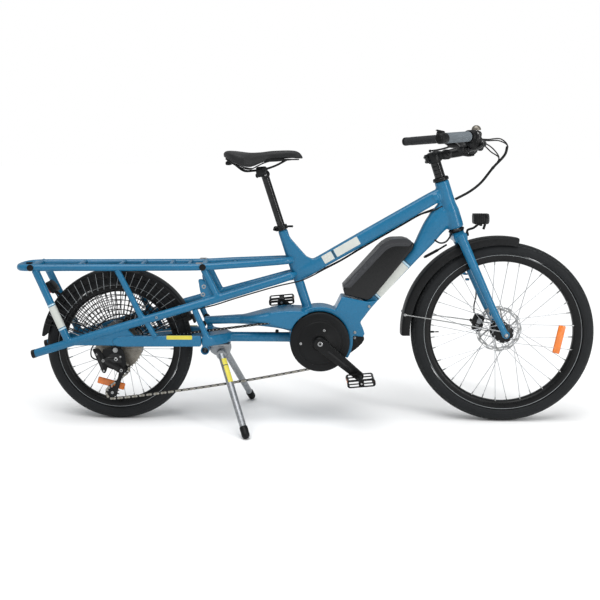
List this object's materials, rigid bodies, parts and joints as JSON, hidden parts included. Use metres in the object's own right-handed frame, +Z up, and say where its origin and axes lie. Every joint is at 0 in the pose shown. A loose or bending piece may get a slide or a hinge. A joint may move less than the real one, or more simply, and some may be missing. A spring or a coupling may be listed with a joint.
{
  "type": "cargo bicycle",
  "caption": "Longtail cargo bicycle: small wheels, low rear rack frame, mid motor with frame battery, adjustable saddle, swept handlebar and folding centre stand.",
  "frame": {"origin": "middle of the footprint of the bounding box, on the ground", "axes": "+X forward along the bicycle, +Y to the rider's left, +Z up"},
  "size_m": [1.9852, 0.76, 1.0101],
  "materials": {
    "blue_paint": "gloss",
    "black_metal": "satin",
    "black_plastic": "matte",
    "silver_metal": "satin",
    "steel": "brushed",
    "tyre_rubber": "matte",
    "cable_rubber": "satin",
    "grip_rubber": "matte",
    "saddle_cover": "satin",
    "battery_case": "satin",
    "red_lens": "gloss"
  },
  "bodies": {
    "frame": {"rear_axle": "steel", "chain": "steel", "derailleur_cage": "black_metal", "derailleur_body": "black_metal", "head_tube": "blue_paint", "seat_tube": "blue_paint", "down_tube": "blue_paint", "top_tube": "blue_paint", "motor_cradle": "blue_paint", "motor_unit": "black_plastic", "lower_tube": "blue_paint", "right_side_frame": "blue_paint", "left_side_frame": "blue_paint", "right_chainstay": "blue_paint", "left_chainstay": "blue_paint", "rack_deck": "blue_paint", "seat_clamp": "black_metal", "rear_fender": "black_plastic", "right_skirt_guard": "black_plastic", "left_skirt_guard": "black_plastic", "rear_light": "red_lens", "rear_caliper": "black_metal", "stand_bracket": "silver_metal", "frame_cables": "cable_rubber"},
    "steering": {"fork": "blue_paint", "stem": "black_metal", "handlebar": "black_metal", "right_grip": "grip_rubber", "left_grip": "grip_rubber", "right_control": "black_plastic", "left_control": "black_plastic", "bell": "silver_metal", "headlight": "black_plastic", "front_fender": "black_plastic", "front_caliper": "black_metal", "front_brake_hose": "cable_rubber", "cable_loom": "cable_rubber", "steering_damper": "black_plastic"},
    "front_wheel": {"front_wheel": "black_metal", "front_tyre": "tyre_rubber", "front_rotor": "steel"},
    "rear_wheel": {"rear_wheel": "black_metal", "rear_tyre": "tyre_rubber", "rear_rotor": "steel"},
    "cassette": {"cassette": "steel"},
    "guide_pulley": {"guide_pulley": "black_plastic"},
    "tension_pulley": {"tension_pulley": "black_plastic"},
    "crank": {"right_crank": "black_metal", "left_crank": "black_metal", "chainring_guard": "black_plastic"},
    "right_pedal": {"right_pedal": "black_plastic"},
    "left_pedal": {"left_pedal": "black_plastic"},
    "stand": {"centre_stand": "silver_metal"},
    "seat": {"seatpost": "black_metal", "saddle": "saddle_cover"},
    "seat_lever": {"seat_quick_release": "black_metal"},
    "right_brake_lever": {"right_brake_lever": "black_metal"},
    "left_brake_lever": {"left_brake_lever": "black_metal"},
    "shift_lever": {"shift_lever": "black_plastic"},
    "battery": {"battery": "battery_case"}
  },
  "joints": [
    {"name": "steering_turn", "type": "hinge", "parent": "frame", "child": "steering", "pos_m": [0.5296, 0, 0.664], "axis": [-0.2912, 0, 0.9567], "range_deg": [-50, 50], "stiffness_Nm_per_rad": 8, "deforming": ["cable_loom", "steering_damper"]},
    {"name": "front_wheel_spin", "type": "hinge", "parent": "steering", "child": "front_wheel", "pos_m": [0.6846, 0, 0.308], "axis": [0, 1, 0], "continuous": true},
    {"name": "rear_wheel_spin", "type": "hinge", "parent": "frame", "child": "rear_wheel", "pos_m": [-0.6364, 0, 0.258], "axis": [0, 1, 0], "continuous": true},
    {"name": "crank_spin", "type": "hinge", "parent": "frame", "child": "crank", "pos_m": [0.0626, 0, 0.283], "axis": [0, 1, 0], "continuous": true},
    {"name": "cassette_spin", "type": "hinge", "parent": "frame", "child": "cassette", "pos_m": [-0.6364, -0.04, 0.258], "axis": [0, 1, 0], "continuous": true},
    {"name": "tension_pulley_spin", "type": "hinge", "parent": "frame", "child": "tension_pulley", "pos_m": [-0.6534, -0.054, 0.105], "axis": [0, 1, 0], "continuous": true},
    {"name": "guide_pulley_spin", "type": "hinge", "parent": "frame", "child": "guide_pulley", "pos_m": [-0.6164, -0.054, 0.188], "axis": [0, 1, 0], "continuous": true},
    {"name": "right_pedal_spin", "type": "hinge", "parent": "crank", "child": "right_pedal", "pos_m": [0.19282, -0.137, 0.17373], "axis": [0, 1, 0], "continuous": true},
    {"name": "left_pedal_spin", "type": "hinge", "parent": "crank", "child": "left_pedal", "pos_m": [-0.06763, 0.137, 0.39227], "axis": [0, 1, 0], "continuous": true},
    {"name": "stand_fold", "type": "hinge", "parent": "frame", "child": "stand", "pos_m": [-0.2744, 0, 0.236], "axis": [0, 1, 0], "range_deg": [0, 95]},
    {"name": "seat_height", "type": "slide", "parent": "frame", "child": "seat", "axis": [-0.2978, 0, 0.9546], "range_m": [-0.1, 0.06]},
    {"name": "seat_lever_open", "type": "hinge", "parent": "frame", "child": "seat_lever", "pos_m": [-0.0844, 0.026, 0.664], "axis": [0, 0, 1], "range_deg": [0, 150]},
    {"name": "right_brake_lever_pull", "type": "hinge", "parent": "steering", "child": "right_brake_lever", "pos_m": [0.5616, -0.236, 0.946], "axis": [0, 0, -1], "range_deg": [0, 20], "stiffness_Nm_per_rad": 4},
    {"name": "left_brake_lever_pull", "type": "hinge", "parent": "steering", "child": "left_brake_lever", "pos_m": [0.5616, 0.236, 0.946], "axis": [0, 0, 1], "range_deg": [0, 20], "stiffness_Nm_per_rad": 4},
    {"name": "shift_lever_push", "type": "hinge", "parent": "steering", "child": "shift_lever", "pos_m": [0.5416, -0.216, 0.914], "axis": [0, 0, -1], "range_deg": [0, 20], "stiffness_Nm_per_rad": 1},
    {"name": "battery_tilt", "type": "hinge", "parent": "frame", "child": "battery", "pos_m": [0.1466, 0, 0.436], "axis": [0, -1, 0], "range_deg": [0, 3]}
  ],
  "couplings": [
    {"joint": "cassette_spin", "follows": "crank_spin", "ratio": 3.8182},
    {"joint": "tension_pulley_spin", "follows": "crank_spin", "ratio": 3.8182},
    {"joint": "guide_pulley_spin", "follows": "crank_spin", "ratio": -3.8182}
  ]
}
